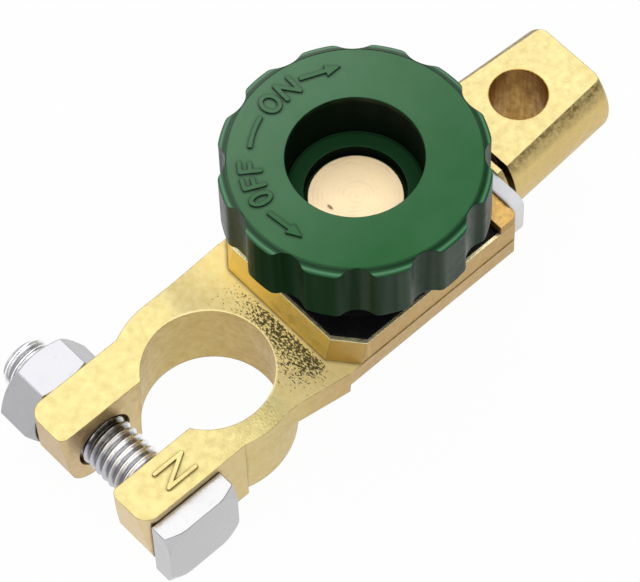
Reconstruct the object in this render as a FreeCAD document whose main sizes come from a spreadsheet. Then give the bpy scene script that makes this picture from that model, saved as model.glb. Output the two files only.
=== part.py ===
import FreeCAD, Part
import math
import os
import Sketcher

# Battery terminal disconnect switch, in millimetres.
# Origin: on the axis of the clamp bore, at the underside of the ring.
# +X points to the cable post, +Z up along the battery post and the knob.

doc = FreeCAD.newDocument("disconnect_switch")
sheet = doc.addObject("Spreadsheet::Sheet", "sizes")
sheet_rows = []


class Size:
    """A length with the formula that gives it, so that what uses it stays bound to the sheet."""

    def __init__(self, formula, value):
        self.formula = formula
        self.value = value

    def joined(self, other, sign, value):
        return Size(f"({self.formula} {sign} {as_size(other).formula})", value)

    def __add__(self, other):
        return self.joined(other, "+", self.value + as_size(other).value)

    def __sub__(self, other):
        return self.joined(other, "-", self.value - as_size(other).value)

    def __mul__(self, other):
        return self.joined(other, "*", self.value * as_size(other).value)

    def __truediv__(self, other):
        return self.joined(other, "/", self.value / as_size(other).value)

    def __neg__(self):
        return Size(f"(0 - {self.formula})", -self.value)


def as_size(number):
    if isinstance(number, Size):
        return number
    return Size(repr(float(number)), float(number))


def size(name, value, meaning):
    """One cell of the sheet: its name, its plain number and what it measures."""
    row = len(sheet_rows) + 1
    sheet_rows.append(name)
    sheet.set(f"A{row}", name)
    sheet.set(f"B{row}", str(value))
    sheet.set(f"C{row}", meaning)
    sheet.setAlias(f"B{row}", name)
    return Size(f"sizes.{name}", float(value))


# Battery post clamp
bore_top_diameter = size("bore_top_diameter", 18.1, "hole for the battery post at the flat top")
bore_diameter = size("bore_diameter", 19.4, "hole for the battery post at its mouth")
bore_mouth = size("bore_mouth", 2.0, "straight mouth of that hole")
clamp_height = size("clamp_height", 13.65, "ring and ears, underside to flat top")
ring_diameter = size("ring_diameter", 25.6, "outside of the ring at its top")
ring_draft = size("ring_draft", 0.8, "lean of the ring towards its underside, to a side")
ring_offset = size("ring_offset", 0.4, "middle of the ring's outside beside the bore's axis")
ear_half_width = size("ear_half_width", 11.8, "middle to the outer face of an ear")
ear_reach = size("ear_reach", 21.6, "post axis to the ends of the ears")
ear_corner = size("ear_corner", 2.4, "outer rounding of the ears seen from above")
slot_corner = size("slot_corner", 1.2, "rounding of the ears beside the gap")
ear_lean = size("ear_lean", 1.3, "lean of the ears' ends towards the underside")
ear_toe = size("ear_toe", 4.5, "rounding of the lower ends of the ears")
slot_width = size("slot_width", 9.7, "gap between the ears")
shoulder_start = size("shoulder_start", 7.9, "post axis to the step that stops the bolt head")
shoulder_turn = size("shoulder_turn", 4.0, "post axis to where that step starts to fall")
shoulder_end = size("shoulder_end", 0.9, "post axis to the other end of that step")
shoulder_proud = size("shoulder_proud", 1.85, "height of that step above the ear's face")
shoulder_fall = size("shoulder_fall", 1.3, "fall of that step from its turn to its end")
shoulder_round = size("shoulder_round", 0.6, "soft corners of that step")

# Arm and tray of the casting
waist_near = size("waist_near", 12.1, "middle to the side of the arm by the bolt head")
waist_far = size("waist_far", 13.2, "middle to the side of the arm by the nut")
waist_end = size("waist_end", 5.2, "post axis to where the arm starts to widen")
arm_thickness = size("arm_thickness", 6.3, "arm between the ring and the tray")
plate_start = size("plate_start", 13.6, "post axis to where the arm has its full width")
plate_half_width = size("plate_half_width", 13.5, "middle to the side of the base plate")
plate_thickness = size("plate_thickness", 4.65, "base plate under the tray")
plate_lean = size("plate_lean", 0.45, "lean of the arm's and the plate's sides")
plate_chamfer = size("plate_chamfer", 0.6, "soft lower edges of the arm and the plate")
end_corner = size("end_corner", 1.0, "rounded corners of the tray's open end")
tray_end = size("tray_end", 44.2, "post axis to the open end of the tray")
wall_foot_start = size("wall_foot_start", 12.3, "post axis to the foot of the tray's end wall")
wall_rim_start = size("wall_rim_start", 13.4, "post axis to the rim of the tray's end wall")
wall_foot_half = size("wall_foot_half", 13.4, "middle to the foot of a side wall")
wall_rim_half = size("wall_rim_half", 13.4, "middle to the rim of a side wall")
corner_x = size("corner_x", 3.1, "cut corner of the tray, lengthwise")
corner_y = size("corner_y", 3.8, "cut corner of the tray, across")
rim_rise = size("rim_rise", 4.15, "flat top of the clamp to the rim of the tray")
floor_thickness = size("floor_thickness", 3.0, "floor of the tray")
wall_thickness = size("wall_thickness", 1.25, "wall of the tray at the rim")
lip_thickness = size("lip_thickness", 0.5, "thin lip bent over the cover")
lip_height = size("lip_height", 0.8, "height of that lip")
tray_room_end = size("tray_room_end", 40.0, "post axis to the end of the wide room in the tray")
exit_half_width = size("exit_half_width", 8.6, "middle to the side of the tray's exit")

# Knob axis, stud and its boss
knob_axis = size("knob_axis", 27.1, "post axis to knob axis")
thread_diameter = size("thread_diameter", 10.0, "stud's thread")
thread_play = size("thread_play", 0.05, "play of a thread or turned pin, to a side")
boss_diameter = size("boss_diameter", 16.0, "threaded boss under the tray")
boss_height = size("boss_height", 4.0, "height of that boss below the base plate")
lift = size("lift", 3.0, "travel of the stud from on to off")
play = size("play", 0.1, "clearance between pieces that lie in each other")
loose = size("loose", 0.4, "clearance beside parts that pass each other")
ring_thickness = size("ring_thickness", 0.8, "retaining ring")
ring_reach = size("ring_reach", 6.6, "outer radius of the retaining ring")
ring_groove_depth = size("ring_groove_depth", 1.0, "groove for that ring")
ring_mouth = size("ring_mouth", 6.0, "opening of that ring")
stud_tail = size("stud_tail", 0.7, "stud below its retaining ring")
washer_thickness = size("washer_thickness", 1.5, "contact washer")
washer_radius = size("washer_radius", 8.9, "outside of the contact washer")
lug_width = size("lug_width", 3.0, "lugs that keep the washer from turning")
lug_reach = size("lug_reach", 10.3, "knob axis to the end of a lug")
spigot_radius = size("spigot_radius", 6.4, "turned seat of the contact washer on the stud")
swage_radius = size("swage_radius", 6.7, "stud's lip that holds the washer")
swage_height = size("swage_height", 0.5, "height of that lip")
spring_thickness = size("spring_thickness", 0.6, "metal of the disc spring")
spring_height = size("spring_height", 0.9, "disc spring as fitted")
spring_radius = size("spring_radius", 8.2, "outside of the disc spring")
flange_radius = size("flange_radius", 8.3, "flange of the stud")
flange_thickness = size("flange_thickness", 2.0, "thickness of that flange")
drive_flats = size("drive_flats", 10.0, "across the flats of the stud's hexagon")
disc_diameter = size("disc_diameter", 12.72, "face of the stud seen in the knob")

# Cable post, its neck and its contact plate
contact_thickness = size("contact_thickness", 3.0, "contact plate and neck")
contact_radius = size("contact_radius", 10.7, "outside of the contact plate")
contact_hole = size("contact_hole", 6.6, "radius of the hole in the contact plate")
neck_half_width = size("neck_half_width", 7.0, "middle to the side of the neck")
post_axis_rise = size("post_axis_rise", 0.65, "flat top of the clamp to the cable post's axis")
post_end = size("post_end", 67.3, "battery post axis to the end of the cable post")
post_end_diameter = size("post_end_diameter", 16.3, "cable post at its end")
post_taper = size("post_taper", 9.0, "length over which the diameter grows by one")
post_flat_rise = size("post_flat_rise", 5.77, "cable post's axis to its milled flat")
post_edge = size("post_edge", 0.9, "rounding at the end of the cable post")
hole_centre = size("hole_centre", 57.28, "battery post axis to the cable hole")
hole_diameter = size("hole_diameter", 8.1, "cable hole")
shoulder_length = size("shoulder_length", 0.9, "shoulder of the cable post against the insulator")
groove_length = size("groove_length", 0.9, "groove behind that shoulder")
groove_radius = size("groove_radius", 7.1, "radius left in that groove")

# Insulator, cover and bridge
liner_floor = size("liner_floor", 1.2, "insulator under the contact plate")
liner_wall = size("liner_wall", 1.0, "insulator beside the contact plate")
sleeve_wall = size("sleeve_wall", 0.9, "insulating sleeve around the stud")
flange_length = size("flange_length", 2.1, "insulator's flange outside the tray")
flange_half_width = size("flange_half_width", 12.4, "middle to the side of that flange")
flange_rise = size("flange_rise", 1.9, "rim of the tray to the top of that flange")
flange_foot = size("flange_foot", 0.6, "underside of the base plate to the foot of that flange")
flange_corner = size("flange_corner", 1.6, "upper corners of that flange")
flange_low_corner = size("flange_low_corner", 4.0, "lower corners of that flange")
bridge_thickness = size("bridge_thickness", 1.45, "brass bridge over the exit")
bridge_length = size("bridge_length", 3.15, "bridge, along the part")
peg_diameter = size("peg_diameter", 2.4, "pegs of the bridge pressed into the casting")
peg_length = size("peg_length", 3.0, "length of those pegs")
peg_place = size("peg_place", 10.5, "middle to the pegs of the bridge")
collar_radius = size("collar_radius", 12.6, "outside of the cover's collar")
collar_bore = size("collar_bore", 9.35, "radius inside the cover's collar")
collar_rise = size("collar_rise", 7.4, "rim of the tray to the collar's top")
cover_edge = size("cover_edge", 0.4, "rounding of the collar's top")

# Knob
knob_radius = size("knob_radius", 18.1, "knob across its lobes, to a side")
knob_gap = size("knob_gap", 1.53, "gap between the collar and the knob's skirt")
knob_height = size("knob_height", 10.47, "skirt of the knob")
valley_depth = size("valley_depth", 1.2, "depth of the hollows between the lobes")
lobe_slope = size("lobe_slope", 0.75, "fall of the sloped edge on top of the lobes")
top_groove = size("top_groove", 0.2, "fine groove around the flat top")
valley_radius = size("valley_radius", 3.2, "hollows between the lobes")
lobe_round = size("lobe_round", 1.2, "rounding of the lobes beside the hollows")
recess_radius = size("recess_radius", 9.22, "recess in the top of the knob")
recess_depth = size("recess_depth", 8.4, "depth of that recess to its ledge")
eye_radius = size("eye_radius", 6.9, "hole in the ledge around the stud's face")
seat_depth = size("seat_depth", 10.65, "top of the knob to the seat of the stud's head")
face_thickness = size("face_thickness", 0.79, "seat of the stud's head to its face")
hub_radius = size("hub_radius", 8.85, "hub below the knob")
cup_wall = size("cup_wall", 2.1, "wall between the recess and the hollow underside")
skirt_wall = size("skirt_wall", 2.5, "wall of the skirt at the hollows")
roof_thickness = size("roof_thickness", 2.5, "top of the knob over its hollow underside")
letter_inset = size("letter_inset", 3.15, "edge of the knob's flat to the middle of the lettering")
letter_height = size("letter_height", 3.3, "height of a letter")
letter_stroke = size("letter_stroke", 0.6, "stroke of a letter")
letter_proud = size("letter_proud", 0.3, "height of the lettering above its ground")

# Clamp bolt and nut
bolt_diameter = size("bolt_diameter", 7.8, "bolt over its thread")
bolt_reach = size("bolt_reach", 14.65, "post axis to bolt axis")
bolt_drop = size("bolt_drop", 0.575, "middle height of the ears to bolt axis")
bolt_hole_play = size("bolt_hole_play", 0.5, "clearance of the bolt in the ears, to a side")
head_flats = size("head_flats", 12.0, "across the flats of the square head")
head_height = size("head_height", 3.5, "height of the bolt head")
nut_flats = size("nut_flats", 13.0, "across the flats of the nut")
nut_height = size("nut_height", 6.5, "height of the nut")
thread_end = size("thread_end", 3.7, "thread beyond the nut")
thread_chamfer = size("thread_chamfer", 0.8, "chamfer at the end of a thread")
ear_letter_place = size("ear_letter_place", 13.25, "post axis to the letter on the ear")
ear_letter_height = size("ear_letter_height", 4.7, "height of the letter on the ear")
ear_letter_width = size("ear_letter_width", 2.8, "width of the letter on the ear")

doc.recompute()

# Plain ratios and counts
LOBE_COUNT = 12
CORNER_SLOPE = math.tan(math.radians(30))  # fall of the corners of the bolt head and the nut
HEAD_FACE = 1.14  # round face on the bolt head, as a share of its width
NUT_FACE = 0.96  # round faces of the nut, as a share of its width
NARROW_LETTER = 0.56  # width of the first word's letters, as a share of their height
WIDE_LETTER = 0.81  # width of the second word's letters, as a share of their height
ARROW_LENGTH = 0.42  # length of an arrow, as a share of the ring's radius
ARROW_HEAD = 0.36  # length of its head, as a share of the arrow

# Places around the knob axis, in degrees from +X
VALLEY_TURN = 17.8
OFF_PLACES = (165.0, 153.6, 143.5)
ON_PLACES = (100.7, 87.1)
ARROW_PLACES = (186.2, 66.6)
DASH_START = 110.5
DASH_END = 131.5

# Heights that follow from those sizes
arm_bottom = clamp_height - arm_thickness
plate_bottom = clamp_height - plate_thickness
floor_top = plate_bottom + floor_thickness
rim_top = clamp_height + rim_rise
ledge_top = rim_top - lip_height
contact_bottom = floor_top + liner_floor
contact_top = contact_bottom + contact_thickness
washer_top = contact_top + washer_thickness
stud_flange_bottom = washer_top + spring_height
hub_bottom = stud_flange_bottom + flange_thickness
collar_top = rim_top + collar_rise
knob_bottom = collar_top + knob_gap
knob_top = knob_bottom + knob_height
ledge_height = knob_top - recess_depth
eye_floor = knob_top - seat_depth
disc_height = eye_floor + face_thickness
knob_flat_radius = knob_radius - valley_depth
letter_radius = knob_flat_radius - letter_inset
post_axis_height = clamp_height + post_axis_rise
post_flat_height = post_axis_height + post_flat_rise
flange_top = rim_top + flange_rise
flange_bottom = plate_bottom + flange_foot
boss_bottom = plate_bottom - boss_height
ring_top = boss_bottom - lift - play
ring_bottom = ring_top - ring_thickness
stud_bottom = ring_bottom - stud_tail
room_start = wall_rim_start + wall_thickness
room_half = wall_rim_half - wall_thickness
bolt_height = clamp_height / 2 - bolt_drop
bore_radius = bore_diameter / 2
bore_top_radius = bore_top_diameter / 2
ring_radius = ring_diameter / 2
thread_radius = thread_diameter / 2
bolt_radius = bolt_diameter / 2
post_start = tray_end + flange_length + shoulder_length + groove_length
post_end_radius = post_end_diameter / 2
post_root_radius = post_end_radius + (post_end - post_start) / post_taper / 2
beyond = as_size(1.0)

TURN_TO_X = FreeCAD.Rotation(FreeCAD.Vector(0, 1, 0), 90)
TURN_TO_Y = FreeCAD.Rotation(FreeCAD.Vector(1, 0, 0), -90)
TURN_UP = FreeCAD.Rotation(FreeCAD.Vector(1, 0, 0), 90)
NO_TURN = FreeCAD.Rotation()


def bind(thing, prop, length):
    thing.setExpression(prop, as_size(length).formula)


def place(thing, x=0, y=0, z=0, turn=NO_TURN):
    thing.Placement = FreeCAD.Placement(FreeCAD.Vector(0, 0, 0), turn)
    for letter, length in zip("xyz", (x, y, z)):
        bind(thing, f"Placement.Base.{letter}", length)
    return thing


def block(name, x_span, y_span, z_span):
    """A box from its low and high side along each axis."""
    thing = doc.addObject("Part::Box", name)
    for prop, span in zip(("Length", "Width", "Height"), (x_span, y_span, z_span)):
        bind(thing, prop, as_size(span[1]) - span[0])
    return place(thing, x_span[0], y_span[0], z_span[0])


def rod(name, radius, low, high, x=0, y=0, z=0, axis="z"):
    """A round rod along one axis, from low to high on it."""
    thing = doc.addObject("Part::Cylinder", name)
    bind(thing, "Radius", radius)
    bind(thing, "Height", as_size(high) - low)
    if axis == "x":
        return place(thing, low, y, z, TURN_TO_X)
    if axis == "y":
        return place(thing, x, low, z, TURN_TO_Y)
    return place(thing, x, y, low)


def cone(name, low_radius, high_radius, low, high, y=0):
    """An upright round body whose radius changes from low to high."""
    thing = doc.addObject("Part::Cone", name)
    bind(thing, "Radius1", low_radius)
    bind(thing, "Radius2", high_radius)
    bind(thing, "Height", as_size(high) - low)
    return place(thing, 0, y, low)


def joined(name, things):
    thing = doc.addObject("Part::MultiFuse", name)
    thing.Shapes = things
    thing.Refine = True
    return thing


def cut(name, base, tools):
    tool = tools[0]
    if len(tools) > 1:
        tool = joined(name + "_room", tools)
    thing = doc.addObject("Part::Cut", name)
    thing.Base = base
    thing.Tool = tool
    thing.Refine = True
    return thing


def shared(name, first, second):
    thing = doc.addObject("Part::Common", name)
    thing.Base = first
    thing.Tool = second
    thing.Refine = True
    return thing


def rounded(name, base, radius, picks):
    """Rounds those edges of the base for which picks says yes."""
    doc.recompute()
    thing = doc.addObject("Part::Fillet", name)
    thing.Base = base
    numbers = [n for n, edge in enumerate(base.Shape.Edges, 1) if picks(edge)]
    thing.Edges = [(n, radius.value, radius.value) for n in numbers]
    return thing


def near(value, length):
    return abs(value - as_size(length).value) < 0.01


def upright(edge):
    box = edge.BoundBox
    return box.XLength < 0.01 and box.YLength < 0.01


def base_plane(body, role):
    return [plane for plane in body.Origin.OriginFeatures if plane.Role == role][0]


def new_sketch(body, name, role="XY_Plane", height=0):
    sketch = body.newObject("Sketcher::SketchObject", name)
    sketch.AttachmentSupport = [(base_plane(body, role), "")]
    sketch.MapMode = "FlatFace"
    bind(sketch, "AttachmentOffset.Base.z", height)
    return sketch


def draw_outline(sketch, points):
    """A closed outline of straight lines, each corner bound by its two lengths."""
    corners = [FreeCAD.Vector(as_size(x).value, as_size(y).value, 0) for x, y in points]
    first = sketch.GeometryCount
    count = len(points)
    for n in range(count):
        sketch.addGeometry(Part.LineSegment(corners[n], corners[(n + 1) % count]), False)
    for n in range(count):
        line = first + n
        following = first + (n + 1) % count
        sketch.addConstraint(Sketcher.Constraint("Coincident", line, 2, following, 1))
    for n, (x, y) in enumerate(points):
        for kind, length in (("DistanceX", x), ("DistanceY", y)):
            number = sketch.addConstraint(
                Sketcher.Constraint(kind, -1, 1, first + n, 1, as_size(length).value))
            bind(sketch, f"Constraints[{number}]", length)


def draw_circle(sketch, x, y, radius):
    centre = FreeCAD.Vector(as_size(x).value, as_size(y).value, 0)
    axis = FreeCAD.Vector(0, 0, 1)
    circle = sketch.addGeometry(Part.Circle(centre, axis, as_size(radius).value), False)
    for kind, length in (("DistanceX", x), ("DistanceY", y)):
        number = sketch.addConstraint(
            Sketcher.Constraint(kind, -1, 1, circle, 3, as_size(length).value))
        bind(sketch, f"Constraints[{number}]", length)
    number = sketch.addConstraint(Sketcher.Constraint("Radius", circle, as_size(radius).value))
    bind(sketch, f"Constraints[{number}]", radius)


def prism(name, points, low, high):
    """An upright body with a straight-sided outline."""
    body = doc.addObject("PartDesign::Body", name)
    sketch = new_sketch(body, name + "_outline", height=low)
    draw_outline(sketch, points)
    pad = body.newObject("PartDesign::Pad", name + "_pad")
    pad.Profile = sketch
    bind(pad, "Length", as_size(high) - low)
    return body


def layered(name, layers):
    """A body with flat sides through outlines at several heights: (height, points) each."""
    body = doc.addObject("PartDesign::Body", name)
    sketches = []
    for n, (height, points) in enumerate(layers):
        sketch = new_sketch(body, f"{name}_outline_{n}", height=height)
        draw_outline(sketch, points)
        sketches.append(sketch)
    loft = body.newObject("PartDesign::AdditiveLoft", name + "_loft")
    loft.Profile = sketches[0]
    loft.Sections = sketches[1:]
    loft.Ruled = True
    return body


def turned(name, points):
    """A body turned about its own upright axis: points are radius and height."""
    body = doc.addObject("PartDesign::Body", name)
    sketch = new_sketch(body, name + "_profile", role="XZ_Plane")
    draw_outline(sketch, points)
    feature = body.newObject("PartDesign::Revolution", name + "_turn")
    feature.Profile = sketch
    feature.ReferenceAxis = (sketch, ["V_Axis"])
    feature.Angle = 360
    return body


def hexagon(flats):
    """Corners of a hexagon that has a flat towards -Y and one towards +Y."""
    half = flats / 2
    corner = half * (2 / math.sqrt(3))
    return [(corner, 0), (corner / 2, half), (-corner / 2, half),
            (-corner, 0), (-corner / 2, -half), (corner / 2, -half)]


def mirrored(points):
    """The given half outline, y above zero, and its mirror image below."""
    return points + [(x, -as_size(y)) for x, y in reversed(points)]


def room_outline(inset, end, exit_too):
    """The tray's room, drawn in by an inset on every side, with or without its exit."""
    start = room_start + inset
    half = room_half - inset
    points = [(start, half - corner_y), (start + corner_x, half)]
    if exit_too:
        step = tray_room_end - inset
        points += [(step, half), (step, exit_half_width - inset), (end, exit_half_width - inset)]
    else:
        points += [(end, half)]
    return mirrored(points)


def rim_outline(inset, end):
    """The tray's outside at the rim, drawn in by an inset."""
    start = wall_rim_start + inset
    half = wall_rim_half - inset
    return mirrored([(start, half - corner_y), (start + corner_x, half), (end, half)])


# Clamp casting: ears, ring, step beside the bolt head, arm, base plate, tray and boss
def at_ear_end(edge, outer):
    """An upright corner at the end of an ear, on its outer side or beside the gap."""
    at_side = abs(edge.BoundBox.YMin) > ear_half_width.value - 0.01
    return upright(edge) and near(edge.BoundBox.XMin, -ear_reach) and at_side == outer


ear_slot = block("ear_slot", (-(ear_reach + beyond), 0), (-(slot_width / 2), slot_width / 2),
                 (-beyond, clamp_height + beyond))
ears_block = block("ears_block", (-ear_reach, -shoulder_turn), (-ear_half_width, ear_half_width),
                   (0, clamp_height))
ears_outer = rounded("ears_outer", cut("ears_apart", ears_block, [ear_slot]), ear_corner,
                     lambda edge: at_ear_end(edge, True))
ears_plan = rounded("ears_plan", ears_outer, slot_corner, lambda edge: at_ear_end(edge, False))
ears_profile = place(
    prism("ears_profile",
          [(-ear_reach, clamp_height), (-ear_reach + ear_lean, 0), (beyond, 0),
           (beyond, clamp_height)],
          -(ear_half_width + beyond), ear_half_width + beyond),
    turn=TURN_UP)
ears_side = rounded(
    "ears_side", ears_profile, ear_toe,
    lambda edge: near(edge.BoundBox.XMax, -ear_reach + ear_lean) and near(edge.BoundBox.ZMax, 0))
ears = shared("ears", ears_plan, ears_side)
ring = cone("ring", ring_radius - ring_draft, ring_radius, 0, clamp_height, y=ring_offset)


def step_outline(inset):
    """The step beside the bolt head seen from above, its outer side drawn in by an inset."""
    outer = -(ear_half_width + shoulder_proud - inset)
    return [(-shoulder_start, outer), (-shoulder_turn, outer), (-shoulder_end, outer + shoulder_fall),
            (-shoulder_end, 0), (-shoulder_start, 0)]


step_body = layered("step_body", [(0, step_outline(ring_draft)), (clamp_height, step_outline(0))])
bolt_step = rounded(
    "bolt_step", step_body, shoulder_round,
    lambda edge: edge.BoundBox.ZLength > clamp_height.value / 2
    and edge.BoundBox.YMin < -ear_half_width.value and edge.BoundBox.XMax < -shoulder_end.value - 1)


def arm_outline(inset):
    """The arm between the ring and the tray, its sides drawn in by an inset."""
    return [(0, waist_far - inset), (waist_end, waist_far - inset),
            (plate_start, plate_half_width - inset), (plate_start, -(plate_half_width - inset)),
            (waist_end, -(waist_near - inset)), (0, -(waist_near - inset))]


def plate_outline(inset):
    """The base plate under the tray, its sides drawn in by an inset."""
    return mirrored([(plate_start, plate_half_width - inset), (tray_end, plate_half_width - inset)])


def soft_layers(outline, bottom):
    """Outlines of a plate with leaning sides and soft lower edges, from its bottom up."""
    return [(bottom, outline(plate_lean + plate_chamfer)),
            (bottom + plate_chamfer, outline(plate_lean)), (clamp_height, outline(0))]


arm = layered("arm", soft_layers(arm_outline, arm_bottom))
base_plate = layered("base_plate", soft_layers(plate_outline, plate_bottom))
tray_walls = layered("tray_walls", [
    (clamp_height, mirrored([(wall_foot_start, wall_foot_half - corner_y),
                             (wall_foot_start + corner_x, wall_foot_half),
                             (tray_end, wall_foot_half)])),
    (rim_top, rim_outline(0, tray_end)),
])
end_shape = rounded(
    "end_shape",
    block("end_block", (0, tray_end), (-plate_half_width, plate_half_width),
          (arm_bottom, rim_top)),
    end_corner, lambda edge: upright(edge) and near(edge.BoundBox.XMax, tray_end))
tray = shared("tray", joined("tray_body", [arm, base_plate, tray_walls]), end_shape)
boss = rod("boss", boss_diameter / 2, boss_bottom, plate_bottom, x=knob_axis)
casting_body = joined("casting_body", [ears, ring, bolt_step, tray, boss])

bridge_start = tray_end - bridge_length
casting_room = [
    turned("post_bore", [(0, -beyond), (bore_radius, -beyond), (bore_radius, bore_mouth),
                         (bore_top_radius, clamp_height),
                         (bore_top_radius, clamp_height + beyond), (0, clamp_height + beyond)]),
    ear_slot,
    rod("bolt_holes", bolt_radius + bolt_hole_play, -(ear_half_width + beyond),
        ear_half_width + beyond, x=-bolt_reach, z=bolt_height, axis="y"),
    prism("tray_room", room_outline(0, tray_end + beyond, True), floor_top, rim_top + beyond),
    prism("cover_ledge", rim_outline(lip_thickness, bridge_start), ledge_top, rim_top + beyond),
    rod("stud_thread_bore", thread_radius + thread_play, boss_bottom - beyond, rim_top,
        x=knob_axis),
    rod("peg_hole_near", peg_diameter / 2 + thread_play, rim_top - peg_length - play,
        rim_top + beyond, x=tray_end - bridge_length / 2, y=-peg_place),
    rod("peg_hole_far", peg_diameter / 2 + thread_play, rim_top - peg_length - play,
        rim_top + beyond, x=tray_end - bridge_length / 2, y=peg_place),
]
casting_cut = cut("casting_cut", casting_body, casting_room)


def letter_n(wide, high):
    """The letter N upright on its ground, as raised strokes."""
    left = -wide / 2
    right = wide / 2
    low = -high / 2
    top = high / 2
    strokes = [stroke_solid((left, low), (left, top)),
               stroke_solid((left, top), (right, low)),
               stroke_solid((right, low), (right, top))]
    return strokes[0].multiFuse(strokes[1:])


def ear_letter():
    """A raised letter N on top of the ear beside the bolt head, its top towards the knob."""
    middle_y = -(slot_width.value / 2 + ear_half_width.value) / 2
    letter = letter_n(ear_letter_width.value, ear_letter_height.value)
    letter.Placement = FreeCAD.Placement(
        FreeCAD.Vector(-ear_letter_place.value, middle_y, clamp_height.value),
        FreeCAD.Rotation(FreeCAD.Vector(0, 0, 1), -90))
    return letter


def stroke_solid(start, end):
    """One raised stroke with round ends between two points, sunk a little into its ground."""
    dx = end[0] - start[0]
    dy = end[1] - start[1]
    length = math.hypot(dx, dy)
    half = letter_stroke.value / 2
    sunk = FreeCAD.Vector(0, 0, -letter_proud.value)
    tall = 2 * letter_proud.value
    bar = Part.makeBox(length, 2 * half, tall, sunk - FreeCAD.Vector(0, half, 0))
    ends = [Part.makeCylinder(half, tall, sunk),
            Part.makeCylinder(half, tall, sunk + FreeCAD.Vector(length, 0, 0))]
    stroke = bar.multiFuse(ends).removeSplitter()
    stroke.Placement = FreeCAD.Placement(
        FreeCAD.Vector(start[0], start[1], 0),
        FreeCAD.Rotation(FreeCAD.Vector(0, 0, 1), math.degrees(math.atan2(dy, dx))))
    return stroke


ear_sign = doc.addObject("Part::Feature", "ear_sign")
ear_sign.Shape = ear_letter()
clamp_casting = joined("clamp_casting", [casting_cut, ear_sign])

# Insulator: lining of the tray, flange outside it and sleeve around the stud
liner_flange_block = block(
    "liner_flange_block", (tray_end, tray_end + flange_length),
    (-flange_half_width, flange_half_width), (flange_bottom, flange_top))
liner_flange_top = rounded(
    "liner_flange_top", liner_flange_block, flange_corner,
    lambda edge: near(edge.BoundBox.ZMin, flange_top) and edge.BoundBox.YLength < 0.01)
liner_flange = rounded(
    "liner_flange", liner_flange_top, flange_low_corner,
    lambda edge: near(edge.BoundBox.ZMax, flange_bottom) and edge.BoundBox.YLength < 0.01)
liner_body = joined("liner_body", [
    prism("liner_outside", room_outline(play, tray_end, True), floor_top, ledge_top),
    liner_flange,
    block("liner_exit_top", (bridge_start, tray_end),
          (-(exit_half_width - play), exit_half_width - play), (ledge_top, rim_top)),
])
sleeve_radius = thread_radius + loose
liner_room = [
    prism("liner_room", room_outline(play + liner_wall, tray_room_end - liner_wall, False),
          contact_bottom, rim_top + beyond),
    block("neck_window", (knob_axis, tray_end + flange_length + beyond),
          (-neck_half_width, neck_half_width), (contact_bottom, contact_top)),
]
liner_shell = cut("liner_shell", liner_body, liner_room)
sleeve = rod("sleeve", sleeve_radius + sleeve_wall, floor_top, contact_top - play, x=knob_axis)
insulating_liner = cut(
    "insulating_liner", joined("liner_with_sleeve", [liner_shell, sleeve]),
    [rod("sleeve_bore", sleeve_radius, floor_top - beyond, contact_top + beyond, x=knob_axis)])


# Cable post with its neck and contact plate, one piece
def cable_post():
    """The post is turned about its own axis, which runs along X."""
    shoulder_start_x = tray_end + flange_length
    groove_start_x = shoulder_start_x + shoulder_length
    profile = [
        (0, shoulder_start_x), (post_root_radius, shoulder_start_x),
        (post_root_radius, groove_start_x), (groove_radius, groove_start_x),
        (groove_radius, post_start), (post_root_radius, post_start),
        (post_end_radius, post_end), (0, post_end)]
    post = place(turned("post_turned", profile), 0, 0, post_axis_height, TURN_TO_X)
    return rounded("post_round_end", post, post_edge,
                   lambda edge: near(edge.BoundBox.XMin, post_end))


terminal_body = joined("terminal_body", [
    cable_post(),
    block("neck", (knob_axis, tray_end + flange_length + shoulder_length),
          (-neck_half_width, neck_half_width), (contact_bottom, contact_top)),
    rod("contact_plate", contact_radius, contact_bottom, contact_top, x=knob_axis),
])
cable_terminal = cut("cable_terminal", terminal_body, [
    block("post_flat", (tray_end, post_end + beyond), (-post_root_radius, post_root_radius),
          (post_flat_height, post_flat_height + post_root_radius)),
    rod("cable_hole", hole_diameter / 2, -beyond, post_flat_height + beyond, x=hole_centre),
    rod("contact_eye", contact_hole, contact_bottom - beyond, contact_top + beyond, x=knob_axis),
])

# Brass bridge over the exit, with two pegs pressed into the casting
bridge_bar = rounded(
    "bridge_bar",
    block("bridge_block", (bridge_start, tray_end), (-wall_rim_half, wall_rim_half),
          (rim_top, rim_top + bridge_thickness)),
    end_corner,
    lambda edge: upright(edge) and near(edge.BoundBox.XMax, tray_end))
end_bridge = joined("end_bridge", [
    bridge_bar,
    rod("peg_near", peg_diameter / 2, rim_top - peg_length, rim_top + beyond,
        x=tray_end - bridge_length / 2, y=-peg_place),
    rod("peg_far", peg_diameter / 2, rim_top - peg_length, rim_top + beyond,
        x=tray_end - bridge_length / 2, y=peg_place),
])

# Cover: black moulding held under the tray's lip, with a collar around the knob's hub
cover_inset = lip_thickness + play
lug_room_top = washer_top + lift + loose
collar = rounded(
    "collar",
    rod("collar_rod", collar_radius, ledge_top, collar_top, x=knob_axis),
    cover_edge,
    lambda edge: near(edge.BoundBox.ZMin, collar_top))
cover_body = joined("cover_body", [
    prism("cover_plate", rim_outline(cover_inset, bridge_start - play), ledge_top, rim_top),
    prism("cover_spigot",
          room_outline(play + liner_wall + play, tray_room_end - liner_wall - play, False),
          contact_top, ledge_top + play),
    collar,
])
tray_cover = cut("tray_cover", cover_body, [
    rod("collar_room", collar_bore, contact_top - beyond, collar_top + beyond, x=knob_axis),
    block("lug_room", (knob_axis - lug_width / 2 - loose, knob_axis + lug_width / 2 + loose),
          (-(lug_reach + loose), lug_reach + loose), (contact_top - beyond, lug_room_top)),
])

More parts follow.
